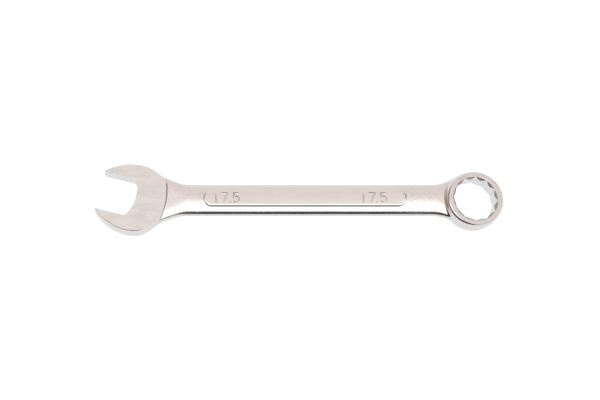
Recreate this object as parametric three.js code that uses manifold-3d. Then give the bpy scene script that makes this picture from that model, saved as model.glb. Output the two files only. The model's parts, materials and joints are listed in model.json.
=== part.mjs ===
// Combination wrench, 11/16 inch: an open end and a twelve-point box end on one forged shank.
// Millimetres. The wrench is drawn with the open end's centre at the origin, the shank along +X
// and its mid-plane at Z = 0. The whole forging is then laid down the way it rests on a table.

import * as THREE from 'three';
import { mergeVertices } from 'three/addons/utils/BufferGeometryUtils.js';
import Module from 'manifold-3d';

const degrees = Math.PI / 180;

// Driving dimensions
const ACROSS_FLATS = 17.6;          // 11/16 inch plus working clearance, at both ends
const HEAD_SPACING = 149.2;         // open end centre to box end centre

const OPEN_THICKNESS = 7.6;
const OPEN_EDGE = [0.35, 0.7];      // rounded rim of the ground face: how far in, and how deep
const JAW_ANGLE = 15 * degrees;     // the jaws open this far from the shank's line
const JAW_REACH = 14.9;             // head centre to the lower jaw's tip, along the opening
const UPPER_JAW_EXTRA = 0.65;       // the upper jaw reaches this much further
const HEAD_BACK = 0.7;              // the head's round back is centred this far behind the jaws
const HEAD_RISE = 0.2;              // and this far above them
const HEAD_RADIUS = 15.5;
const HEAD_TRIM = 15.3;             // a flat across the head's lower back, at this distance
const HEAD_TRIM_ANGLE = -49 * degrees;
const JAW_FLANK_RADIUS = 22.5;
const THROAT_DEPTH = 1.2;           // the throat's deepest point, behind the head's centre
const THROAT_RADIUS = 17;
const THROAT_CORNER = 2.2;
const SLOT_REACH = 30;              // the jaw cut runs this far, well past the tips
const FACE_STEP_RADIUS = 30;        // the ground face ends on this arc, above the neck
const FACE_STEP_CENTRE = [-15.3, 3];

const BOX_THICKNESS = 8.4;
const BOX_RADIUS = 12.8;
const BOX_STRETCH = 1.03;           // the ring is a little longer along the wrench
const BOX_RIM_ROUND = 2.2;          // forged round rim, of which the face grinding leaves a part
const GROUND_ANGLE = 42 * degrees;  // where the face cuts that round
const BOX_TILT = 15 * degrees;      // the ring leans down towards its outer end
const BOX_DROP = 1.3;               // ring centre below the shank's mid-plane
const BOX_POINTS = 12;
const LEAD_IN_RADIUS = 10.15;       // countersink, at the ring's face
const LEAD_IN_DEPTH = 2;
const LEAD_IN_STEEPNESS = 1.3;      // depth gained for each millimetre inwards

const SHANK_WIDTH = 14.8;
const OPEN_NECK = { centre: [2.9, 0.55], radius: 14.1, flare: 25 };
const BOX_NECK = { centre: [148.2, 0], radius: 12.5, flare: 23 };
const SIDE_WALL = 0.3;              // half the height of the shank's upright edge
const CROWN = [[2.2, 2.27], [3.6, 2.69], [5.2, 3.0], [6.8, 3.15]];   // [in from the edge, height]
const UNDERCUT_SLOPE = 0.341;       // thins the neck into the ring's lower face

const PANEL_START = 30.8;
const PANEL_END = 120;
const PANEL_WIDTH = 7.5;
const PANEL_HEIGHT = 3.45;          // above the mid-plane, on both sides
const PANEL_EDGE = [0.4, 0.5];      // the panel's sloping side: how far in, and how deep

const ARC_STEPS = 10;
const RING_STEPS = 60;

// Booleans

const wasm = await Module();
wasm.setup();

function solid(geometry) {
  const bare = geometry.index ? geometry.toNonIndexed() : geometry.clone();
  bare.deleteAttribute('normal');
  bare.deleteAttribute('uv');
  const merged = mergeVertices(bare, 1e-5);
  return new wasm.Manifold(new wasm.Mesh({
    numProp: 3,
    vertProperties: new Float32Array(merged.attributes.position.array),
    triVerts: new Uint32Array(merged.index.array),
  }));
}

function toGeometry(manifold) {
  const mesh = manifold.getMesh();
  const geometry = new THREE.BufferGeometry();
  geometry.setAttribute('position', new THREE.BufferAttribute(mesh.vertProperties, mesh.numProp));
  geometry.setIndex(new THREE.BufferAttribute(mesh.triVerts, 1));
  geometry.computeVertexNormals();
  return geometry;
}

// Building blocks

// A flat body centred on Z = 0. Its edge is set in by `start`, and then falls away by `drop`
// over a further `inset`, on both sides.
function slab(shape, halfThickness, start, inset, drop, steps) {
  const geometry = new THREE.ExtrudeGeometry(shape, {
    depth: 2 * (halfThickness - drop),
    bevelEnabled: drop > 0,
    bevelThickness: drop,
    bevelSize: inset,
    bevelOffset: -(start + inset),
    bevelSegments: steps,
    curveSegments: ARC_STEPS,
  });
  return geometry.translate(0, 0, drop - halfThickness);
}

// A body of revolution about Z, from [radius, height] points that start and end on the axis.
function turned(profile, steps) {
  const points = profile.map(([radius, height]) => new THREE.Vector2(radius, height));
  return new THREE.LatheGeometry(points, steps).rotateX(Math.PI / 2);
}

function arcPoints(radius, centre, from, to, steps) {
  const curve = new THREE.EllipseCurve(centre[0], centre[1], radius, radius, from, to, from > to);
  return curve.getPoints(steps).map((point) => [point.x, point.y]);
}

function atJaws(geometry) {
  return solid(geometry.rotateZ(Math.PI - JAW_ANGLE));
}

function atBox(geometry) {
  return solid(geometry.rotateY(BOX_TILT).translate(HEAD_SPACING, 0, -BOX_DROP));
}

// Open end

// Seen along the opening, which is +X here: round back, two flatter jaw flanks, blunt tips.
function openHead() {
  const flankCentre = JAW_FLANK_RADIUS - HEAD_RADIUS;
  const reach = JAW_REACH + HEAD_BACK;
  const lowerTip = Math.acos(reach / JAW_FLANK_RADIUS);
  const upperTip = Math.acos((reach + UPPER_JAW_EXTRA) / JAW_FLANK_RADIUS);
  const outline = new THREE.Shape();
  outline.absarc(-HEAD_BACK, -flankCentre, JAW_FLANK_RADIUS, lowerTip, Math.PI / 2);
  outline.absarc(-HEAD_BACK, 0, HEAD_RADIUS, Math.PI / 2, 1.5 * Math.PI);
  outline.absarc(-HEAD_BACK, flankCentre, JAW_FLANK_RADIUS, 1.5 * Math.PI, 2 * Math.PI - upperTip);
  const head = slab(outline, OPEN_THICKNESS / 2, 0, OPEN_EDGE[0], OPEN_EDGE[1], 2);
  const placed = head.rotateZ(Math.PI - JAW_ANGLE).translate(0, HEAD_RISE, 0);

  const trim = new THREE.BoxGeometry(HEAD_RADIUS, 4 * HEAD_RADIUS, 2 * OPEN_THICKNESS);
  trim.translate(HEAD_TRIM + HEAD_RADIUS / 2, 0, 0).rotateZ(HEAD_TRIM_ANGLE);

  const step = new THREE.Shape();
  step.absarc(FACE_STEP_CENTRE[0], FACE_STEP_CENTRE[1], FACE_STEP_RADIUS, 0, 2 * Math.PI);
  const groundArea = slab(step, OPEN_THICKNESS, 0, 0, 0, 0);
  return solid(placed).intersect(solid(groundArea)).subtract(solid(trim));
}

function jawSlot() {
  const half = ACROSS_FLATS / 2;
  const throatCentre = THROAT_RADIUS - THROAT_DEPTH;
  const cornerHeight = half - THROAT_CORNER;
  const reach = Math.sqrt((THROAT_RADIUS - THROAT_CORNER) ** 2 - cornerHeight ** 2);
  const cornerCentre = throatCentre - reach;
  const contact = Math.PI - Math.atan2(cornerHeight, reach);
  const slot = new THREE.Shape();
  slot.moveTo(SLOT_REACH, half);
  slot.lineTo(cornerCentre, half);
  slot.absarc(cornerCentre, cornerHeight, THROAT_CORNER, Math.PI / 2, contact);
  slot.absarc(throatCentre, 0, THROAT_RADIUS, contact, 2 * Math.PI - contact);
  slot.absarc(cornerCentre, -cornerHeight, THROAT_CORNER, 2 * Math.PI - contact, 1.5 * Math.PI);
  slot.lineTo(SLOT_REACH, -half);
  return atJaws(slab(slot, OPEN_THICKNESS, 0, 0, 0, 0));
}

// Box end

function boxRing() {
  const half = BOX_THICKNESS / 2;
  const edge = BOX_RADIUS - BOX_RIM_ROUND;
  const side = half - BOX_RIM_ROUND * Math.cos(GROUND_ANGLE);
  const sweep = Math.PI / 2 - GROUND_ANGLE;
  const profile = [
    [0, -half],
    ...arcPoints(BOX_RIM_ROUND, [edge, -side], -sweep, 0, 3),
    ...arcPoints(BOX_RIM_ROUND, [edge, side], 0, sweep, 3),
    [0, half],
  ];
  return atBox(turned(profile, RING_STEPS).scale(BOX_STRETCH, 1, 1));
}

// Twelve points: the corners of two hexagons, with one corner towards the shank.
function twelvePoint() {
  const corner = ACROSS_FLATS / Math.sqrt(3);
  const valley = ACROSS_FLATS / 2 / Math.cos(Math.PI / BOX_POINTS);
  const star = new THREE.Shape();
  for (let i = 0; i < 2 * BOX_POINTS; i++) {
    const radius = i % 2 === 0 ? corner : valley;
    const angle = (i * Math.PI) / BOX_POINTS;
    const place = [radius * Math.cos(angle), radius * Math.sin(angle)];
    i === 0 ? star.moveTo(...place) : star.lineTo(...place);
  }
  return atBox(slab(star, BOX_THICKNESS, 0, 0, 0, 0));
}

function leadIn(side) {
  const face = BOX_THICKNESS / 2;
  const past = 0.5;
  const floor = face - LEAD_IN_DEPTH;
  const profile = [
    [0, floor],
    [LEAD_IN_RADIUS - LEAD_IN_DEPTH / LEAD_IN_STEEPNESS, floor],
    [LEAD_IN_RADIUS + past / LEAD_IN_STEEPNESS, face + past],
    [0, face + past],
  ];
  const cone = turned(profile, RING_STEPS);
  return atBox(side > 0 ? cone : cone.rotateX(Math.PI));
}

// Shank and necks

// The round flare between a neck and the shank's upper (side 1) or lower (side -1) edge: its
// centre, and the angle at the neck's centre where it begins.
function flare(neck, side, way) {
  const height = SHANK_WIDTH / 2 + neck.flare;
  const rise = height - side * neck.centre[1];
  const run = Math.sqrt((neck.radius + neck.flare) ** 2 - rise ** 2);
  return { x: neck.centre[0] + way * run, y: side * height, angle: Math.atan2(rise, run) };
}

function neckOutline() {
  const up = Math.PI / 2;
  const upper = flare(OPEN_NECK, 1, 1);
  const lower = flare(OPEN_NECK, -1, 1);
  const boxUpper = flare(BOX_NECK, 1, -1);
  const boxLower = flare(BOX_NECK, -1, -1);
  const open = [...OPEN_NECK.centre, OPEN_NECK.radius];
  const box = [...BOX_NECK.centre, BOX_NECK.radius];
  const outline = new THREE.Shape();
  outline.absarc(...open, upper.angle, 2 * Math.PI - lower.angle);
  outline.absarc(lower.x, lower.y, OPEN_NECK.flare, Math.PI - lower.angle, up, true);
  outline.absarc(boxLower.x, boxLower.y, BOX_NECK.flare, up, boxLower.angle, true);
  outline.absarc(...box, Math.PI + boxLower.angle, 3 * Math.PI - boxUpper.angle);
  outline.absarc(boxUpper.x, boxUpper.y, BOX_NECK.flare, -boxUpper.angle, -up, true);
  outline.absarc(upper.x, upper.y, OPEN_NECK.flare, -up, upper.angle - Math.PI, true);
  return outline;
}

// The ring's lower face is ground flat, and the neck thins into it.
function belowRing() {
  const face = -BOX_THICKNESS / 2;
  const inner = BOX_RADIUS - BOX_RIM_ROUND * (1 - Math.sin(GROUND_ANGLE));
  const outer = 3 * inner;
  const profile = [
    [0, -outer],
    [outer, -outer],
    [outer, face - UNDERCUT_SLOPE * (outer - inner)],
    [inner, face],
    [0, face],
  ];
  return atBox(turned(profile, RING_STEPS));
}

function aboveRing() {
  const face = BOX_THICKNESS / 2;
  const reach = BOX_STRETCH * BOX_RADIUS;
  const profile = [[0, face], [reach, face], [reach, 3 * face], [0, 3 * face]];
  return atBox(turned(profile, RING_STEPS));
}

// A rounded edge and a low crown, which follows the outline round both flares.
function shankAndNecks() {
  const outline = neckOutline();
  const [edgeWidth, edgeHeight] = CROWN[0];
  let body = solid(slab(outline, edgeHeight, 0, edgeWidth, edgeHeight - SIDE_WALL, 3));
  for (let i = 1; i < CROWN.length; i++) {
    const [start, low] = CROWN[i - 1];
    const [end, high] = CROWN[i];
    body = body.add(solid(slab(outline, high, start, end - start, high - low, 1)));
  }
  return body.subtract(belowRing()).subtract(aboveRing());
}

// A raised panel with round ends, on both broad sides of the shank.
function panels() {
  const radius = PANEL_WIDTH / 2;
  const outline = new THREE.Shape();
  outline.absarc(PANEL_START + radius, 0, radius, Math.PI / 2, 1.5 * Math.PI);
  outline.absarc(PANEL_END - radius, 0, radius, -Math.PI / 2, Math.PI / 2);
  return solid(slab(outline, PANEL_HEIGHT, 0, PANEL_EDGE[0], PANEL_EDGE[1], 2));
}

// The whole forging

function wrenchBody() {
  const forging = shankAndNecks().add(panels()).add(openHead()).add(boxRing());
  const cuts = jawSlot().add(twelvePoint()).add(leadIn(1)).add(leadIn(-1));
  const material = new THREE.MeshStandardMaterial({
    color: 0xdcd2ca,
    roughness: 0.35,
    metalness: 1,
  });
  const mesh = new THREE.Mesh(toGeometry(forging.subtract(cuts)), material);
  mesh.name = 'wrench_body';
  return mesh;
}

// Laid on a table the wrench touches it with the jaw tips and with the ring's low outer edge,
// so the shank slopes a little. This finds that slope.
function restingSlope(geometry) {
  const position = geometry.attributes.position;
  let low = 0;
  let high = 10 * degrees;
  for (let round = 0; round < 40; round++) {
    const slope = (low + high) / 2;
    let openLow = Infinity;
    let boxLow = Infinity;
    for (let i = 0; i < position.count; i++) {
      const height = position.getX(i) * Math.sin(slope) + position.getZ(i) * Math.cos(slope);
      if (position.getX(i) < HEAD_SPACING / 2) openLow = Math.min(openLow, height);
      else boxLow = Math.min(boxLow, height);
    }
    if (boxLow < openLow) low = slope;
    else high = slope;
  }
  return low;
}

const body = wrenchBody();
const wrench = new THREE.Group();
wrench.add(body);
wrench.rotation.y = -restingSlope(body.geometry);

const bounds = new THREE.Box3().setFromObject(wrench, true);
const centre = bounds.getCenter(new THREE.Vector3());
wrench.position.set(-centre.x, -centre.y, -bounds.min.z);

export default wrench;
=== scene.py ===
import json
import math

import bmesh
import bpy
import numpy as np
from mathutils import Matrix, Vector


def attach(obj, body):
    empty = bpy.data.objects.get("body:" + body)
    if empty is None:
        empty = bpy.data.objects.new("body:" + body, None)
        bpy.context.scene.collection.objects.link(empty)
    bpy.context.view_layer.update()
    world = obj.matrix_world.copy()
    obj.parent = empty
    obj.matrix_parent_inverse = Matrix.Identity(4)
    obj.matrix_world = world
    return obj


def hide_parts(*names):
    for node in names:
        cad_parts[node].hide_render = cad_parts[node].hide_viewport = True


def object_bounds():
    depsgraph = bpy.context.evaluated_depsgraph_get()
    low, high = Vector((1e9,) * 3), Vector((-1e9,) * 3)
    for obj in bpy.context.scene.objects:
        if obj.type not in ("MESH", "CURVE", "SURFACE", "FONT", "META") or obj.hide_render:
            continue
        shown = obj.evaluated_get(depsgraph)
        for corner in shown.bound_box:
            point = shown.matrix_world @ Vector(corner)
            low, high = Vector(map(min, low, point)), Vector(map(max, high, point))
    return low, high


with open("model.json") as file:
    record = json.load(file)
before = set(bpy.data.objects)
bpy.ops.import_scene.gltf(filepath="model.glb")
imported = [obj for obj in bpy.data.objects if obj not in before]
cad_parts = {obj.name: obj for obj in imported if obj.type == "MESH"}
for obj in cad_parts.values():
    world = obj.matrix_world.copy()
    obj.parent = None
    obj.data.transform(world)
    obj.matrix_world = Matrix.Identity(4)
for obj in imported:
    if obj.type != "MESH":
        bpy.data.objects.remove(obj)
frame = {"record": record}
cad_low, cad_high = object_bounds()

# Design sizes in millimetres, in the wrench's own frame: the open end's centre at the origin,
# the shank along +X and its mid-plane at Z = 0.

ACROSS_FLATS = 17.6
HEAD_SPACING = 149.2

OPEN_HALF = 3.8
OPEN_RIM_ROUND = 1.0
OPEN_BACK_ROUND = 0.6
HEAD_RISE = 0.2
HEAD_TRIM = 15.3
HEAD_TRIM_ANGLE = math.radians(-49)
HEAD_TRIM_ROUND = 2.0
JAW_ANGLE = math.radians(15)
JAW_REACH = 14.9
UPPER_JAW_EXTRA = 0.65
HEAD_BACK = 0.7
HEAD_RADIUS = 15.5
JAW_FLANK_RADIUS = 22.5
TIP_ROUND = 0.45
THROAT_DEPTH = 1.2
THROAT_RADIUS = 17.0
THROAT_CORNER = 2.2
FACE_STEP_RADIUS = 30.0
FACE_STEP_CENTRE = (-15.3, 3.0)
FACE_STEP_FILLET = 0.8

BOX_HALF = 4.2
BOX_RIM_ROUND = 2.2
BOX_RADIUS = 12.63
BOX_STRETCH = 1.052
BOX_STRETCH_ANGLE = math.radians(28)
BOX_TILT = math.radians(15)
BOX_DROP = 1.3
BOX_FILLET = 0.9
BOX_FILLET_LEAST_SHARE = 0.02
LEAD_IN_RADIUS = 10.15
LEAD_IN_STEEPNESS = 1.3
SOCKET_CREST_ROUND = 0.25
GROUND_ANGLE = math.radians(42)
OUTER_GROUND_ANGLE = math.radians(32)
INNER_GROUND_ANGLE = math.radians(33)

SHANK_HALF_WIDTH = 7.4
OPEN_NECK_CENTRE = (2.9, 0.55)
OPEN_NECK_RADIUS = 14.1
OPEN_FLARE_RADIUS = 25.0
BOX_NECK_CENTRE = (148.2, 0.0)
BOX_NECK_RADIUS = 12.5
BOX_FLARE_RADIUS = 23.0
SHANK_EDGE_ROUND = 2.2
NECK_EDGE_ROUND = 0.8
NECK_CROWN_SHARE = 0.38
SHANK_MIDDLE = 79.0
SHANK_HALF_LENGTH = 54.0
NECK_CHANGE = 9.0
CROWN_HEIGHT = 3.15
CROWN_DROP = 0.88
CROWN_WIDTH = 7.25
CROWN_EDGE = 2.2
UNDERCUT_SLOPE = 0.341

PANEL_START = 30.8
PANEL_END = 120.0
PANEL_HALF_WIDTH = 3.75
PANEL_TOP_HALF_WIDTH = 3.4
PANEL_DRAFT = math.radians(30)
PANEL_HEIGHT = 3.45
PANEL_CROWN = 0.09
PANEL_ROUND = 0.45
PANEL_FILLET = 0.15

MARK_HEIGHT = 4.3
MARK_STROKE = 0.8
MARK_DEPTH = 0.28
MARK_FLOOR = 0.08
MARK_CLEARANCE = 0.03
MARK_STARTS = (36.5, 101.0)
MARK_PLACES = (0.0, 3.6, 6.1, 8.6)
BOWL_SHARE = 0.32
BOWL_SWEEP = (125, -150)
BOWL_POINTS = 12

MACHINED_BREAK = 0.12

# The mesh: the space it is found in, its grid, and how near counts as touching, in millimetres.
# MIDDLE_WEIGHT and SHADING_INSET are shares.

FIELD_LOW = (-18.2, -17.2, -11.0)
FIELD_HIGH = (163.5, 17.2, 6.6)
CELL = 0.36
ROOT_STEPS = 4
MIDDLE_WEIGHT = 0.02
NORMAL_STEP = 0.002
SHADING_STEP = 0.01
SHADING_INSET = 0.3
SLIVER = 0.002
ENGRAVED_DEPTH = 0.03
NEAR_WALL = 0.05
NEAR_FACE = 0.02

# The four finishes, in the order of their material slots

FORGED, GROUND, CUT, TURNED = range(4)

PLATE_COLOUR = (0.80, 0.77, 0.755, 1)
PLATE_STAIN = (0.76, 0.72, 0.69, 1)
GROUND_COLOUR = (0.79, 0.765, 0.76, 1)
# The darker colour that the ground faces go towards in their random smudges and at the jaws' tips
GROUND_SMUDGE_AND_TIP_TONE = (0.55, 0.49, 0.45, 1)
WALL_COLOUR = (0.80, 0.79, 0.785, 1)
WALL_STAIN = (0.72, 0.68, 0.65, 1)
# The countersinks' two colours are darker and browner than the plate: painted shade for their
# recess, with a random tint between them
COUNTERSINK_SHADE_COLOUR = (0.66, 0.59, 0.54, 1)
COUNTERSINK_SHADE_AND_STAIN = (0.56, 0.48, 0.42, 1)

# Where the forged grain is strong, in metres from the middle along the wrench and to each side:
# it comes in along the necks, goes again before the heads, and is polished off the edges.

GRAIN_IN = (0.041, 0.048)
GRAIN_OUT = (0.060, 0.064)
GRAIN_SIDE = (0.0058, 0.0070)
SHANK_GRAIN = 0.16
HEAD_GRAIN = 0.1
EDGE_GRAIN = 0.15

# Each finish's relief, in metres: how long its features are along X, Y and Z, and how high.
# PIT_SPAN holds the noise values that the pits come in over.

PLATE_WAVE_SIZE = (0.014, 0.004, 0.004)
PLATE_WAVE_HEIGHT = 0.00004
MOTTLE_SIZE = (0.0009, 0.0009, 0.0009)
MOTTLE_HEIGHT = 0.00010
PIT_SIZE = (0.0011, 0.0011, 0.0011)
PIT_SPAN = (0.60, 0.70)
PIT_HEIGHT = 0.00003
GROUND_WAVE_SIZE = (0.016, 0.006, 0.006)
GROUND_WAVE_HEIGHT = 0.00010
SCRATCH_SIZE = (0.015, 0.0006, 0.0006)
SCRATCH_HEIGHT = 0.00001
WALL_MARK_SIZE = (0.0006, 0.0006, 0.008)
WALL_MARK_HEIGHT = 0.00001
TURNED_MARK_SIZE = (0.0009, 0.0009, 0.0005)
TURNED_MARK_HEIGHT = 0.00003

# Stains: their sizes in metres, the noise values they come in over, and how strong they get.
# The last pair is where the ground face's colour goes darker towards the jaws' tips, in metres out
# from the lower jaw's end.

PLATE_STAIN_SIZE = (0.007, 0.004, 0.004)
SMUDGE_SIZE = (0.009, 0.0035, 0.004)
WALL_STAIN_SIZE = (0.003, 0.003, 0.003)
STAIN_SPAN = (0.45, 0.75)
TURNED_SPAN = (0.35, 0.65)
PLATE_STAIN_MOST = 0.5
SMUDGE_MOST = 0.3
WALL_STAIN_MOST = 0.6
TIP_DARKENING = (-0.0008, 0.0006)

# Roughness, from the smoothest to the roughest spot of each finish

GRAIN_SPAN = (0.3, 0.7)
PLATE_ROUGHNESS = (0.12, 0.20)
NECK_HAZE = 0.12
GROUND_ROUGHNESS = (0.20, 0.27)
WALL_ROUGHNESS = (0.20, 0.28)
TURNED_ROUGHNESS = (0.38, 0.52)

# The surroundings that the plate reflects, with angles in degrees. Overhead, by the angle from
# straight up towards the front; round the room, by the heading, with 0 the front, 90 the right
# and 180 the back. One passes into the other between two heights, where 1 is straight up. The
# floor's size is in metres.

OVERHEAD_STOPS = (
    (-78, (0.62, 0.56, 0.52)),
    (-60, (0.95, 0.89, 0.85)),
    (-42, (0.88, 0.82, 0.78)),
    (-27, (0.85, 0.78, 0.74)),
    (-20, (0.93, 0.87, 0.82)),
    (-14, (1.01, 0.95, 0.90)),
    (-8, (1.12, 1.09, 1.05)),
    (-1, (1.7, 1.7, 1.7)),
    (50, (1.7, 1.7, 1.7)),
)
ROOM_STOPS = (
    (-180, (0.92, 0.86, 0.82)),
    (-158, (0.85, 0.78, 0.73)),
    (-132, (0.42, 0.34, 0.28)),
    (-90, (0.38, 0.31, 0.26)),
    (-60, (0.07, 0.06, 0.06)),
    (10, (0.05, 0.045, 0.045)),
    (35, (0.66, 0.59, 0.54)),
    (85, (0.62, 0.55, 0.50)),
    (105, (0.20, 0.17, 0.15)),
    (135, (0.09, 0.08, 0.07)),
    (158, (0.85, 0.78, 0.73)),
    (180, (0.92, 0.86, 0.82)),
)
ROOM_ENDS_AT = 0.55
OVERHEAD_STARTS_AT = 0.80
BACKDROP_STRENGTH = 1.2
FLOOR_HALF_SIZE = 3.0
FLOOR_COLOUR = (0.975, 0.985, 0.995, 1)
FLOOR_STRENGTH = 0.93

# The camera looks down on the front face, leaning to the front: millimetres and degrees, with
# VIEW_SCALE in image columns to a millimetre, SENSOR_WIDTH in sensor millimetres and FAR_CLIP in
# metres.

VIEW_TARGET = (73.18, 0.2, 0.0)
VIEW_DISTANCE = 1349
VIEW_LEAN = 19.7
VIEW_SCALE = 2.28
FRAME_COLUMNS = 600
SENSOR_WIDTH = 36
FAR_CLIP = 20


# The wrench's own frame, placed in the row's frame by the front panel's mount.

mounts = {mount["name"]: mount for mount in frame["record"]["mounts"]}
up = Vector(mounts["front_panel"]["axis"]).normalized()
lengthwise = Vector((0, 1, 0)).cross(up)
turn = Matrix((lengthwise, (0, 1, 0), up)).transposed()
panel_middle = Vector(((PANEL_START + PANEL_END) / 2, 0, PANEL_HEIGHT)) / 1000
origin = Vector(mounts["front_panel"]["pos_m"]) - turn @ panel_middle


def to_row(points):
    """Points from the wrench's frame in millimetres to the row's frame in metres."""
    return points / 1000 @ np.array(turn).T + np.array(origin)


# Distance fields: negative inside the metal, positive outside, in millimetres.

def round_edge(a, b, radius):
    """What is inside both a and b, with a round outside edge."""
    over = np.hypot(np.maximum(a + radius, 0), np.maximum(b + radius, 0))
    return np.minimum(np.maximum(a, b), -radius) + over


def ground_rim(wall, face, radius, angle=GROUND_ANGLE):
    """A forged rim with a round edge, ground flat at the face so that part of the round is left."""
    lift = radius * (1 - np.cos(angle))
    return np.maximum(round_edge(wall, face - lift, radius), face)


def fillet(a, b, radius):
    """What is inside a or b, with a round inside corner."""
    under = np.hypot(np.maximum(radius - a, 0), np.maximum(radius - b, 0))
    return np.maximum(np.minimum(a, b), radius) - under


def jaw_axes(x, y):
    """Distances out along the jaws' opening, and to either side of its middle."""
    away = -x * math.cos(JAW_ANGLE) + y * math.sin(JAW_ANGLE)
    across = x * math.sin(JAW_ANGLE) + y * math.cos(JAW_ANGLE)
    return away, np.abs(across)


def ring_axes(x, y, z):
    """In the leaning ring's own frame: radius, height, and distance out along the wrench."""
    dx = x - HEAD_SPACING
    dz = z + BOX_DROP
    side = dx * math.cos(BOX_TILT) - dz * math.sin(BOX_TILT)
    height = dx * math.sin(BOX_TILT) + dz * math.cos(BOX_TILT)
    return np.hypot(side, y), height, side


def open_face_plan(x, y):
    """The head's outline: round back, flatter flanks, trimmed lower back and blunt tips."""
    y = y - HEAD_RISE
    away, across = jaw_axes(x, y)
    flank_centre = JAW_FLANK_RADIUS - HEAD_RADIUS
    flank = np.hypot(away + HEAD_BACK, across + flank_centre) - JAW_FLANK_RADIUS
    back = np.hypot(away + HEAD_BACK, across) - HEAD_RADIUS
    side = np.where(away > -HEAD_BACK, flank, back)
    trim = x * math.cos(HEAD_TRIM_ANGLE) + y * math.sin(HEAD_TRIM_ANGLE) - HEAD_TRIM
    side = round_edge(side, trim, HEAD_TRIM_ROUND)
    upper = x * math.sin(JAW_ANGLE) + y * math.cos(JAW_ANGLE) > 0
    end = away - JAW_REACH - UPPER_JAW_EXTRA * upper
    return round_edge(side, end, TIP_ROUND)


def open_head(x, y, z):
    """The jaws' head, which ends on an arc above the neck."""
    plan = open_face_plan(x, y)
    front = ground_rim(plan, z - OPEN_HALF, OPEN_RIM_ROUND)
    back = round_edge(plan, -z - OPEN_HALF, OPEN_BACK_ROUND)
    head = np.maximum(front, back)
    step = np.hypot(x - FACE_STEP_CENTRE[0], y - FACE_STEP_CENTRE[1]) - FACE_STEP_RADIUS
    return round_edge(head, step, MACHINED_BREAK)


def jaw_slot(x, y):
    """The opening between the jaws, with a round throat and rounded corners."""
    away, across = jaw_axes(x, y)
    half = ACROSS_FLATS / 2
    centre = THROAT_RADIUS - THROAT_DEPTH
    corner_height = half - THROAT_CORNER
    corner = centre - math.sqrt((THROAT_RADIUS - THROAT_CORNER) ** 2 - corner_height**2)
    plain = np.maximum(across - half, np.hypot(away - centre, across) - THROAT_RADIUS)
    rounded = np.hypot(away - corner, across - corner_height) - THROAT_CORNER
    return np.where((away < corner) & (across > corner_height), rounded, plain)


def neck_plan(x, y):
    """The outline of the shank and both flares, seen from above."""
    plan = np.abs(y) - SHANK_HALF_WIDTH
    ends = (
        (OPEN_NECK_CENTRE, OPEN_NECK_RADIUS, OPEN_FLARE_RADIUS, 1),
        (BOX_NECK_CENTRE, BOX_NECK_RADIUS, BOX_FLARE_RADIUS, -1),
    )
    for (centre, offset), radius, flare, way in ends:
        out = way * (x - centre)
        disc = np.hypot(out, y - offset) - radius
        for side in (1, -1):
            rise = SHANK_HALF_WIDTH + flare - side * offset
            run = math.sqrt((radius + flare) ** 2 - rise**2)
            height = side * (y - offset)
            flared = flare - np.hypot(out - run, height - rise)
            rounded = np.where(out * rise > height * run, flared, disc)
            plan = np.where((out < run) & (side * y > 0), rounded, plan)
    return plan


def neck(x, y, z):
    """The shank and necks: rounded edges and a low crown, which flattens towards the heads."""
    plan = neck_plan(x, y)
    # From 0 on the shank to 1 on the necks, smoothly
    past = np.clip((np.abs(x - SHANK_MIDDLE) - SHANK_HALF_LENGTH) / NECK_CHANGE, 0, 1)
    past = past * past * (3 - 2 * past)
    inset = np.clip(CROWN_WIDTH + plan, 0, CROWN_WIDTH) / (CROWN_WIDTH - CROWN_EDGE)
    drop = CROWN_DROP * (1 - past + NECK_CROWN_SHARE * past)
    crown = CROWN_HEIGHT - drop * inset ** (2 + 2 * past)
    edge_round = SHANK_EDGE_ROUND + (NECK_EDGE_ROUND - SHANK_EDGE_ROUND) * past
    body = round_edge(plan, np.abs(z) - crown, edge_round)
    radius, height, _ = ring_axes(x, y, z)
    edge = BOX_RADIUS - BOX_RIM_ROUND * (1 - math.sin(GROUND_ANGLE))
    below = -height - BOX_HALF - UNDERCUT_SLOPE * np.maximum(radius - edge, 0)
    return np.maximum(body, np.maximum(height - BOX_HALF, below))


def panel(x, y, z):
    """The raised panel on both sides: round ends, sloping sides and a slight crown."""
    middle = (PANEL_START + PANEL_END) / 2
    straight = (PANEL_END - PANEL_START) / 2 - PANEL_HALF_WIDTH
    plan = np.hypot(np.maximum(np.abs(x - middle) - straight, 0), y) - PANEL_TOP_HALF_WIDTH
    above = np.abs(z) - PANEL_HEIGHT + PANEL_CROWN * (y / PANEL_HALF_WIDTH) ** 2
    side = plan * math.cos(PANEL_DRAFT) + above * math.sin(PANEL_DRAFT)
    return round_edge(side, above, PANEL_ROUND)


def box_ring(x, y, z):
    """The ring: slightly oval, and ground a little less on its inner and outer sides."""
    _, height, side = ring_axes(x, y, z)
    along = side * math.cos(BOX_STRETCH_ANGLE) + y * math.sin(BOX_STRETCH_ANGLE)
    across = y * math.cos(BOX_STRETCH_ANGLE) - side * math.sin(BOX_STRETCH_ANGLE)
    wall = np.hypot(along / BOX_STRETCH, across) - BOX_RADIUS
    outward = np.clip(side / BOX_RADIUS, 0, 1)
    inward = np.clip(-side / BOX_RADIUS, 0, 1)
    angle = GROUND_ANGLE + (OUTER_GROUND_ANGLE - GROUND_ANGLE) * outward
    angle += (INNER_GROUND_ANGLE - GROUND_ANGLE) * inward
    return ground_rim(wall, np.abs(height) - BOX_HALF, BOX_RIM_ROUND, angle)


def countersink(x, y, z):
    """The cones that lead into the socket from both faces."""
    radius, height, _ = ring_axes(x, y, z)
    cone = radius - LEAD_IN_RADIUS + (BOX_HALF - np.abs(height)) / LEAD_IN_STEEPNESS
    return cone * math.sin(math.atan(LEAD_IN_STEEPNESS))


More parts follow.
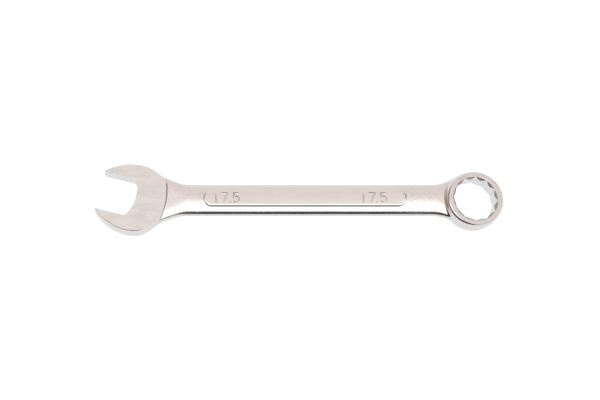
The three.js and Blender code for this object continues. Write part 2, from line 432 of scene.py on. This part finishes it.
def socket(x, y, z):
    """Two hexagons turned thirty degrees apart, with a countersink at each face."""
    radius, _, side = ring_axes(x, y, z)
    hole = np.full_like(radius, ACROSS_FLATS)
    for start in (30, 0):
        hexagon = np.full_like(radius, -ACROSS_FLATS)
        for turn_by in (0, 60, 120):
            angle = math.radians(start + turn_by)
            flat = np.abs(side * math.cos(angle) + y * math.sin(angle)) - ACROSS_FLATS / 2
            hexagon = np.maximum(hexagon, flat)
        hole = fillet(hole, hexagon, SOCKET_CREST_ROUND)
    return np.minimum(hole, countersink(x, y, z))


def wrench(points):
    """The whole forging's field, at points in the wrench's frame."""
    x, y, z = points[..., 0], points[..., 1], points[..., 2]
    body = fillet(neck(x, y, z), panel(x, y, z), PANEL_FILLET)
    body = fillet(body, open_head(x, y, z), FACE_STEP_FILLET)
    _, height, _ = ring_axes(x, y, z)
    # The fillet fades out at the ring's faces, so that it doesn't lift them
    share = np.clip((BOX_HALF - np.abs(height)) / BOX_FILLET, BOX_FILLET_LEAST_SHARE, 1)
    body = fillet(body, box_ring(x, y, z), BOX_FILLET * share)
    body = round_edge(body, -jaw_slot(x, y), MACHINED_BREAK)
    return round_edge(body, -socket(x, y, z), MACHINED_BREAK)


def slopes(points, step):
    """The field's unit gradient at each point."""
    corners = np.array([(1, -1, -1), (-1, -1, 1), (-1, 1, -1), (1, 1, 1)], float)
    total = np.zeros_like(points)
    for corner in corners:
        total += corner * wrench(points + corner * step)[:, None]
    return total / np.maximum(np.linalg.norm(total, axis=1), 1e-12)[:, None]


# Dual contouring: one vertex in each grid cell that the surface crosses, placed where the
# tangent planes of its crossings meet, so that sharp edges stay sharp.

PAIRS = ((0, 0), (0, 1), (0, 2), (1, 1), (1, 2), (2, 2))


def crossings(start, axis, near, far):
    """The points where grid edges of one direction meet the surface, from their end values."""
    share = near / (near - far)
    low_share, high_share = np.zeros_like(share), np.ones_like(share)
    for _ in range(ROOT_STEPS):
        place = start.copy()
        place[:, axis] += share * CELL
        value = wrench(place)
        same = (value < 0) == (near < 0)
        low_share = np.where(same, share, low_share)
        near = np.where(same, value, near)
        high_share = np.where(same, high_share, share)
        far = np.where(same, far, value)
        share = low_share + (high_share - low_share) * near / (near - far)
    place = start.copy()
    place[:, axis] += share * CELL
    return place


def contour(low, high):
    """The surface's vertices, and its faces with four corners each."""
    axes = [np.arange(low[i], high[i] + CELL, CELL) for i in range(3)]
    shape = tuple(len(axis) for axis in axes)
    field = np.empty(shape)
    for i, x in enumerate(axes[0]):
        slab = np.stack(np.meshgrid([x], axes[1], axes[2], indexing="ij"), -1)
        field[i] = wrench(slab)[0]
    inside = field < 0

    strides = np.array([shape[1] * shape[2], shape[2], 1])
    count = shape[0] * shape[1] * shape[2]
    normal_sums = np.zeros((len(PAIRS), count))
    target_sums = np.zeros((3, count))
    point_sums = np.zeros((3, count))
    hits = np.zeros(count)
    quads = []
    for axis in range(3):
        first = [slice(None)] * 3
        second = [slice(None)] * 3
        first[axis] = slice(0, -1)
        second[axis] = slice(1, None)
        crossing = np.argwhere(inside[tuple(first)] != inside[tuple(second)])
        ends = crossing.copy()
        ends[:, axis] += 1
        start = np.stack([axes[i][crossing[:, i]] for i in range(3)], 1)
        near = field[tuple(crossing.T)]
        far = field[tuple(ends.T)]
        place = crossings(start, axis, near, far)
        normal = slopes(place, NORMAL_STEP)
        target = np.sum(normal * place, 1)
        products = [normal[:, i] * normal[:, j] for i, j in PAIRS]
        others = [i for i in range(3) if i != axis]
        base = crossing @ strides
        corner_ids = []
        for u, v in ((0, 0), (1, 0), (1, 1), (0, 1)):
            ids = base - u * strides[others[0]] - v * strides[others[1]]
            corner_ids.append(ids)
            for k, product in enumerate(products):
                normal_sums[k] += np.bincount(ids, product, count)
            for k in range(3):
                target_sums[k] += np.bincount(ids, normal[:, k] * target, count)
                point_sums[k] += np.bincount(ids, place[:, k], count)
            hits += np.bincount(ids, minlength=count)
        quad = np.stack(corner_ids, 1)
        leaves = ~inside[tuple(crossing.T)]
        if axis == 1:
            leaves = ~leaves
        quad[leaves] = quad[leaves][:, ::-1]
        quads.append(quad)

    cells = np.flatnonzero(hits)
    middle = (point_sums[:, cells] / hits[cells]).T
    sums = normal_sums[:, cells]
    matrix = np.empty((len(cells), 3, 3))
    for k, (i, j) in enumerate(PAIRS):
        matrix[:, i, j] = matrix[:, j, i] = sums[k]
    pull = target_sums[:, cells].T - np.einsum("nij,nj->ni", matrix, middle)
    shift = np.linalg.solve(matrix + MIDDLE_WEIGHT * np.eye(3), pull[..., None])[..., 0]
    corner = np.stack(np.unravel_index(cells, shape), 1)
    corner = np.stack([axes[i][corner[:, i]] for i in range(3)], 1)
    vertices = np.clip(middle + shift, corner, corner + CELL)
    number = np.zeros(count, int)
    number[cells] = np.arange(len(cells))
    return vertices, number[np.concatenate(quads)]


# The forging

vertices, faces = contour(FIELD_LOW, FIELD_HIGH)
mesh = bpy.data.meshes.new("wrench")
places = np.clip(to_row(vertices), np.array(cad_low), np.array(cad_high))
mesh.from_pydata(places.tolist(), [], faces.tolist())
forging = bpy.data.objects.new("wrench_forging", mesh)
bpy.context.scene.collection.objects.link(forging)


# The size mark, cut into the front panel near both of its ends. Each figure is one stroke with
# sloping sides, given by its middle line.

def stroke_outline(line, width):
    """The closed outline of a stroke of even width, from its middle line."""
    line = np.array(line, float)
    runs = np.diff(line, axis=0)
    runs /= np.linalg.norm(runs, axis=1)[:, None]
    sides = np.stack([-runs[:, 1], runs[:, 0]], 1)
    before = np.vstack([sides[:1], sides])
    after = np.vstack([sides, sides[-1:]])
    corner = before + after
    corner *= 2 / np.sum(corner * corner, axis=1)[:, None]
    corner *= width / 2
    return np.vstack([line + corner, (line - corner)[::-1]])


def digit_lines():
    """The middle lines of 1, 7, the point and 5, each about its own centre."""
    half = MARK_HEIGHT / 2
    bowl = MARK_HEIGHT * BOWL_SHARE
    sweep = np.radians(np.linspace(*BOWL_SWEEP, BOWL_POINTS))
    bowl_line = [(bowl * math.cos(a), bowl * math.sin(a) + bowl - half) for a in sweep]
    one = [(-0.8, half - 0.9), (0, half - 0.2), (0, -half)]
    seven = [(-1.3, half), (1.2, half), (-0.3, -half)]
    five = [(1.2, half), (-0.9, half), *bowl_line]
    point = [(0, -half), (0, MARK_STROKE - half)]
    return one, seven, point, five


def mark_cutter():
    """The figures as closed bodies, narrow at the bottom and just proud of the panel."""
    points, polygons = [], []
    for start in MARK_STARTS:
        for i, line in enumerate(digit_lines()):
            first = len(points)
            for height, width in ((-MARK_DEPTH, MARK_FLOOR), (MARK_CLEARANCE, MARK_STROKE)):
                outline = stroke_outline(line, width) + (start + MARK_PLACES[i], 0)
                points += [(x, y, PANEL_HEIGHT + height) for x, y in outline]
            count = len(outline)
            floor = [first + k for k in range(count)]
            polygons.append(floor)
            polygons.append([k + count for k in floor[::-1]])
            for k in range(count):
                after = (k + 1) % count
                polygons.append([floor[after], floor[k], floor[k] + count, floor[after] + count])
    cutter = bpy.data.meshes.new("mark_cutter")
    cutter.from_pydata(to_row(np.array(points)).tolist(), [], polygons)
    piece = bpy.data.objects.new("mark_cutter", cutter)
    bpy.context.scene.collection.objects.link(piece)
    return piece


def cut(piece, cutter):
    """Takes the cutter out of the piece, and removes the cutter."""
    modifier = piece.modifiers.new("cut", "BOOLEAN")
    modifier.operation = "DIFFERENCE"
    modifier.solver = "MANIFOLD"
    modifier.object = cutter
    with bpy.context.temp_override(object=piece, active_object=piece):
        bpy.ops.object.modifier_apply(modifier=modifier.name)
    bpy.data.objects.remove(cutter)


def drop_slivers(mesh):
    """Closes the faces of no width that the cutter leaves where it meets the grid."""
    shape = bmesh.new()
    shape.from_mesh(mesh)
    bmesh.ops.dissolve_degenerate(shape, dist=SLIVER / 1000, edges=shape.edges)
    shape.to_mesh(mesh)
    shape.free()


cut(forging, mark_cutter())
mesh = forging.data
drop_slivers(mesh)
mesh.materials.clear()


# Smooth shading from the field itself, and each region's own finish

def corner_data(mesh):
    """Each face corner's point and its face's centre, in the wrench's frame, and its face."""
    points = np.empty(3 * len(mesh.vertices))
    mesh.vertices.foreach_get("co", points)
    points = (points.reshape(-1, 3) - np.array(origin)) @ np.array(turn) * 1000
    loops = np.empty(len(mesh.loops), int)
    mesh.loops.foreach_get("vertex_index", loops)
    counts = np.empty(len(mesh.polygons), int)
    mesh.polygons.foreach_get("loop_total", counts)
    owner = np.repeat(np.arange(len(counts)), counts)
    corners = points[loops]
    centres = np.stack([np.bincount(owner, corners[:, i]) for i in range(3)], 1)
    centres /= counts[:, None]
    return corners, centres, owner


corners, centres, owner = corner_data(mesh)
face_normals = np.empty(3 * len(mesh.polygons))
mesh.polygons.foreach_get("normal", face_normals)
face_normals = face_normals.reshape(-1, 3)
probe = corners + SHADING_INSET * (centres[owner] - corners)
normals = slopes(probe, SHADING_STEP) @ np.array(turn).T
engraved = (wrench(centres) < -ENGRAVED_DEPTH)[owner]
normals[engraved] = face_normals[owner][engraved]
mesh.shade_smooth()
mesh.normals_split_custom_set(normals.tolist())

x, y, z = centres.T
_, height, _ = ring_axes(x, y, z)
in_slot = np.abs(jaw_slot(x, y)) < NEAR_WALL
in_socket = np.abs(socket(x, y, z)) < NEAR_WALL
in_countersink = in_socket & (np.abs(countersink(x, y, z)) < NEAR_WALL)
near_ring = x > HEAD_SPACING - 2 * BOX_RADIUS
ring_face = near_ring & (np.abs(np.abs(height) - BOX_HALF) < NEAR_FACE)
head_face = (x < FACE_STEP_RADIUS) & (np.abs(np.abs(z) - OPEN_HALF) < NEAR_FACE)
region = np.full(len(centres), FORGED)
region[ring_face | head_face] = GROUND
region[in_slot | in_socket] = CUT
# The countersinks' material has painted shade in its colour
region[in_countersink] = TURNED

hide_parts("wrench_body")
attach(forging, "root")


# Finish

JAW_DIRECTION = (-math.cos(JAW_ANGLE), math.sin(JAW_ANGLE), 0.0)


class Nodes:
    """Short calls for building a material's nodes. Lengths are in metres."""

    def __init__(self, name):
        self.material = bpy.data.materials.new(name)
        self.material.use_nodes = True
        self.tree = self.material.node_tree
        self.shader = self.tree.nodes["Principled BSDF"]
        coordinates = self.tree.nodes.new("ShaderNodeTexCoord")
        self.place = coordinates.outputs["Object"]

    def add(self, kind, inputs, **settings):
        node = self.tree.nodes.new(kind)
        for name, value in settings.items():
            setattr(node, name, value)
        for name, value in inputs.items():
            if hasattr(value, "links"):
                self.tree.links.new(value, node.inputs[name])
            else:
                node.inputs[name].default_value = value
        return node

    def noise(self, sizes, detail=2.0, roughness=0.5):
        """Noise between 0 and 1 whose features are about the given size along X, Y and Z."""
        scale = [1 / size for size in sizes]
        mapping = self.add("ShaderNodeMapping", {"Vector": self.place, "Scale": scale})
        inputs = {"Vector": mapping.outputs[0], "Scale": 1.0}
        inputs["Detail"] = detail
        inputs["Roughness"] = roughness
        return self.add("ShaderNodeTexNoise", inputs).outputs["Fac"]

    def remap(self, value, low, high, to_low, to_high):
        """Takes low to to_low and high to to_high, and holds there."""
        inputs = {"Value": value, "From Min": low, "From Max": high}
        inputs["To Min"] = to_low
        inputs["To Max"] = to_high
        return self.add("ShaderNodeMapRange", inputs).outputs[0]

    def compute(self, operation, a, b=0.0):
        return self.add("ShaderNodeMath", {0: a, 1: b}, operation=operation).outputs[0]

    def colour(self, share, a, b):
        """A colour that goes from a to b with the share."""
        node = self.tree.nodes.new("ShaderNodeMix")
        node.data_type = "RGBA"
        self.tree.links.new(share, node.inputs["Factor"])
        node.inputs["A"].default_value = a
        node.inputs["B"].default_value = b
        return node.outputs["Result"]

    def bump(self, height, distance, strength=1.0, normal=None):
        inputs = {"Height": height, "Distance": distance, "Strength": strength}
        if normal is not None:
            inputs["Normal"] = normal
        return self.add("ShaderNodeBump", inputs).outputs[0]

    def set(self, **inputs):
        for name, value in inputs.items():
            socket_in = self.shader.inputs[name.replace("_", " ")]
            if hasattr(value, "links"):
                self.tree.links.new(value, socket_in)
            else:
                socket_in.default_value = value


def forged_plate():
    """Nickel-chrome over forged steel: softly mottled, rougher on the necks than on the shank."""
    m = Nodes("forged_plate")
    split = m.add("ShaderNodeSeparateXYZ", {"Vector": m.place})
    out = m.compute("ABSOLUTE", split.outputs[0])
    aside = m.compute("ABSOLUTE", split.outputs[1])
    toward_neck = m.remap(out, *GRAIN_IN, SHANK_GRAIN, 1.0)
    short_of_head = m.remap(out, *GRAIN_OUT, 1.0, HEAD_GRAIN)
    inside_edges = m.remap(aside, *GRAIN_SIDE, 1.0, EDGE_GRAIN)
    on_neck = m.compute("MULTIPLY", m.compute("MULTIPLY", toward_neck, short_of_head), inside_edges)
    mottle = m.noise(MOTTLE_SIZE, detail=3.0)
    waves = m.noise(PLATE_WAVE_SIZE, detail=1.0)
    pits = m.remap(m.noise(PIT_SIZE), *PIT_SPAN, 1.0, 0.0)
    normal = m.bump(waves, PLATE_WAVE_HEIGHT)
    normal = m.bump(mottle, MOTTLE_HEIGHT, on_neck, normal)
    normal = m.bump(pits, PIT_HEIGHT, on_neck, normal)
    stain = m.remap(m.noise(PLATE_STAIN_SIZE, detail=4.0), *STAIN_SPAN, 0.0, PLATE_STAIN_MOST)
    m.set(Base_Color=m.colour(stain, PLATE_COLOUR, PLATE_STAIN))
    haze = m.remap(on_neck, 0.0, 1.0, 0.0, NECK_HAZE)
    grain = m.remap(mottle, *GRAIN_SPAN, *PLATE_ROUGHNESS)
    m.set(Roughness=m.compute("ADD", grain, haze))
    m.set(Metallic=1.0, Normal=normal)
    return m.material


def ground_face():
    """The ground faces of both heads: satin, scratched along the wrench, with random smudges, and
    darker towards the jaws' tips.
    """
    m = Nodes("ground_face")
    scratches = m.noise(SCRATCH_SIZE, detail=3.0, roughness=0.6)
    waves = m.noise(GROUND_WAVE_SIZE, detail=2.0)
    normal = m.bump(waves, GROUND_WAVE_HEIGHT)
    normal = m.bump(scratches, SCRATCH_HEIGHT, 1.0, normal)
    sides = {0: m.place, 1: JAW_DIRECTION}
    opening = m.add("ShaderNodeVectorMath", sides, operation="DOT_PRODUCT").outputs["Value"]
    smudge = m.remap(m.noise(SMUDGE_SIZE, detail=5.0), *STAIN_SPAN, 0.0, SMUDGE_MOST)
    # The ground face's colour goes darker over about 1.4 mm at the jaws' tips
    tip = float(np.dot(np.array(origin), JAW_DIRECTION)) + JAW_REACH / 1000
    near_tip = m.remap(opening, tip + TIP_DARKENING[0], tip + TIP_DARKENING[1], 0.0, 1.0)
    smudge_and_tip_darkening = m.compute("MAXIMUM", smudge, near_tip)
    m.set(Base_Color=m.colour(smudge_and_tip_darkening, GROUND_COLOUR, GROUND_SMUDGE_AND_TIP_TONE))
    m.set(Roughness=m.remap(scratches, *GRAIN_SPAN, *GROUND_ROUGHNESS))
    m.set(Metallic=1.0, Normal=normal)
    return m.material


def cut_wall():
    """The broached socket and the milled jaws: finer, with marks across the thickness."""
    m = Nodes("cut_wall")
    marks = m.noise(WALL_MARK_SIZE, detail=2.0)
    normal = m.bump(marks, WALL_MARK_HEIGHT)
    stain = m.remap(m.noise(WALL_STAIN_SIZE, detail=3.0), *STAIN_SPAN, 0.0, WALL_STAIN_MOST)
    m.set(Base_Color=m.colour(stain, WALL_COLOUR, WALL_STAIN))
    m.set(Roughness=m.remap(marks, *GRAIN_SPAN, *WALL_ROUGHNESS))
    m.set(Metallic=1.0, Normal=normal)
    return m.material


def turned_countersink_painted_shade():
    """The socket's countersinks, left as turned under a thin plate: duller, and darker and browner
    in colour as painted shade of the recess.
    """
    m = Nodes("turned_countersink_painted_shade")
    marks = m.noise(TURNED_MARK_SIZE, detail=3.0)
    tint = m.remap(marks, *TURNED_SPAN, 0.0, 1.0)
    # Painted shade: the countersink's darker, browner colour stands in for the shade in the recess
    m.set(Base_Color=m.colour(tint, COUNTERSINK_SHADE_COLOUR, COUNTERSINK_SHADE_AND_STAIN))
    m.set(Roughness=m.remap(marks, *GRAIN_SPAN, *TURNED_ROUGHNESS))
    m.set(Metallic=1.0, Normal=m.bump(marks, TURNED_MARK_HEIGHT))
    return m.material


for finish in (forged_plate(), ground_face(), cut_wall(), turned_countersink_painted_shade()):
    mesh.materials.append(finish)
mesh.polygons.foreach_set("material_index", region)
mesh.update()


# Stage

def colour_ramp(tree, stops, low, high):
    """A ramp whose stops are given as (value, colour), and the Map Range that feeds it."""
    scale = tree.nodes.new("ShaderNodeMapRange")
    scale.inputs["From Min"].default_value = low
    scale.inputs["From Max"].default_value = high
    ramp = tree.nodes.new("ShaderNodeValToRGB")
    elements = ramp.color_ramp.elements
    elements.remove(elements[-1])
    for i, (value, colour) in enumerate(stops):
        place = (value - low) / (high - low)
        element = elements[0] if i == 0 else elements.new(place)
        element.position = place
        element.color = (*colour, 1)
    tree.links.new(scale.outputs[0], ramp.inputs["Fac"])
    return scale, ramp


def studio():
    """A softbox overhead and a little in front, warm walls behind, and a dark room at the front."""
    world = bpy.data.worlds.new("studio")
    bpy.context.scene.world = world
    world.use_nodes = True
    tree = world.node_tree
    tree.nodes.clear()
    nodes, links = tree.nodes, tree.links

    def math_node(operation, *values):
        node = nodes.new("ShaderNodeMath")
        node.operation = operation
        for i, value in enumerate(values):
            if isinstance(value, (int, float)):
                node.inputs[i].default_value = value
            else:
                links.new(value, node.inputs[i])
        return node.outputs[0]

    coordinates = nodes.new("ShaderNodeTexCoord")
    split = nodes.new("ShaderNodeSeparateXYZ")
    links.new(coordinates.outputs["Generated"], split.inputs[0])
    x, y, z = split.outputs
    forward = math_node("MULTIPLY", y, -1)
    pitch = math_node("MULTIPLY", math_node("ARCTAN2", forward, z), 180 / math.pi)
    heading = math_node("MULTIPLY", math_node("ARCTAN2", x, forward), 180 / math.pi)

    overhead_scale, overhead = colour_ramp(tree, OVERHEAD_STOPS, -90, 90)
    links.new(pitch, overhead_scale.inputs["Value"])
    room_scale, room = colour_ramp(tree, ROOM_STOPS, -180, 180)
    links.new(heading, room_scale.inputs["Value"])

    height = nodes.new("ShaderNodeMapRange")
    height.interpolation_type = "SMOOTHSTEP"
    height.inputs["From Min"].default_value = ROOM_ENDS_AT
    height.inputs["From Max"].default_value = OVERHEAD_STARTS_AT
    links.new(z, height.inputs["Value"])
    mix = nodes.new("ShaderNodeMix")
    mix.data_type = "RGBA"
    links.new(height.outputs[0], mix.inputs["Factor"])
    links.new(room.outputs["Color"], mix.inputs["A"])
    links.new(overhead.outputs["Color"], mix.inputs["B"])

    light = nodes.new("ShaderNodeBackground")
    links.new(mix.outputs["Result"], light.inputs["Color"])
    backdrop = nodes.new("ShaderNodeBackground")
    backdrop.inputs["Color"].default_value = (1, 1, 1, 1)
    backdrop.inputs["Strength"].default_value = BACKDROP_STRENGTH
    light_path = nodes.new("ShaderNodeLightPath")
    choose = nodes.new("ShaderNodeMixShader")
    links.new(light_path.outputs["Is Camera Ray"], choose.inputs["Fac"])
    links.new(light.outputs[0], choose.inputs[1])
    links.new(backdrop.outputs[0], choose.inputs[2])
    output = nodes.new("ShaderNodeOutputWorld")
    links.new(choose.outputs[0], output.inputs["Surface"])


def floor():
    """A white table that shines back into the plate, as bright as the backdrop to the camera."""
    size = FLOOR_HALF_SIZE
    mesh = bpy.data.meshes.new("floor")
    corners = [(-size, -size, 0), (size, -size, 0), (size, size, 0), (-size, size, 0)]
    mesh.from_pydata(corners, [], [(0, 1, 2, 3)])
    piece = bpy.data.objects.new("floor", mesh)
    bpy.context.scene.collection.objects.link(piece)
    material = bpy.data.materials.new("floor")
    material.use_nodes = True
    tree = material.node_tree
    tree.nodes.clear()
    output = tree.nodes.new("ShaderNodeOutputMaterial")
    mix = tree.nodes.new("ShaderNodeMixShader")
    light_path = tree.nodes.new("ShaderNodeLightPath")
    seen = tree.nodes.new("ShaderNodeEmission")
    seen.inputs["Strength"].default_value = BACKDROP_STRENGTH
    paper = tree.nodes.new("ShaderNodeEmission")
    paper.inputs["Color"].default_value = FLOOR_COLOUR
    paper.inputs["Strength"].default_value = FLOOR_STRENGTH
    tree.links.new(light_path.outputs["Is Camera Ray"], mix.inputs["Fac"])
    tree.links.new(paper.outputs[0], mix.inputs[1])
    tree.links.new(seen.outputs[0], mix.inputs[2])
    tree.links.new(mix.outputs[0], output.inputs["Surface"])
    mesh.materials.append(material)


def camera():
    """A camera at the view's lean and distance, pointed at the view's target."""
    elevation = math.radians(90 - VIEW_LEAN)
    back = Vector((0, -math.cos(elevation), math.sin(elevation)))
    right = Vector((1, 0, 0))
    data = bpy.data.cameras.new("camera")
    data.sensor_width = SENSOR_WIDTH
    data.lens = VIEW_SCALE * VIEW_DISTANCE * SENSOR_WIDTH / FRAME_COLUMNS
    data.clip_end = FAR_CLIP
    piece = bpy.data.objects.new("camera", data)
    bpy.context.scene.collection.objects.link(piece)
    axes = turn @ Matrix((right, back.cross(right), back)).transposed()
    place = to_row(np.array(VIEW_TARGET) + VIEW_DISTANCE * np.array(back))
    piece.matrix_world = Matrix.Translation(place) @ axes.to_4x4()
    bpy.context.scene.camera = piece


studio()
floor()
camera()
bpy.context.scene.view_settings.view_transform = "Standard"
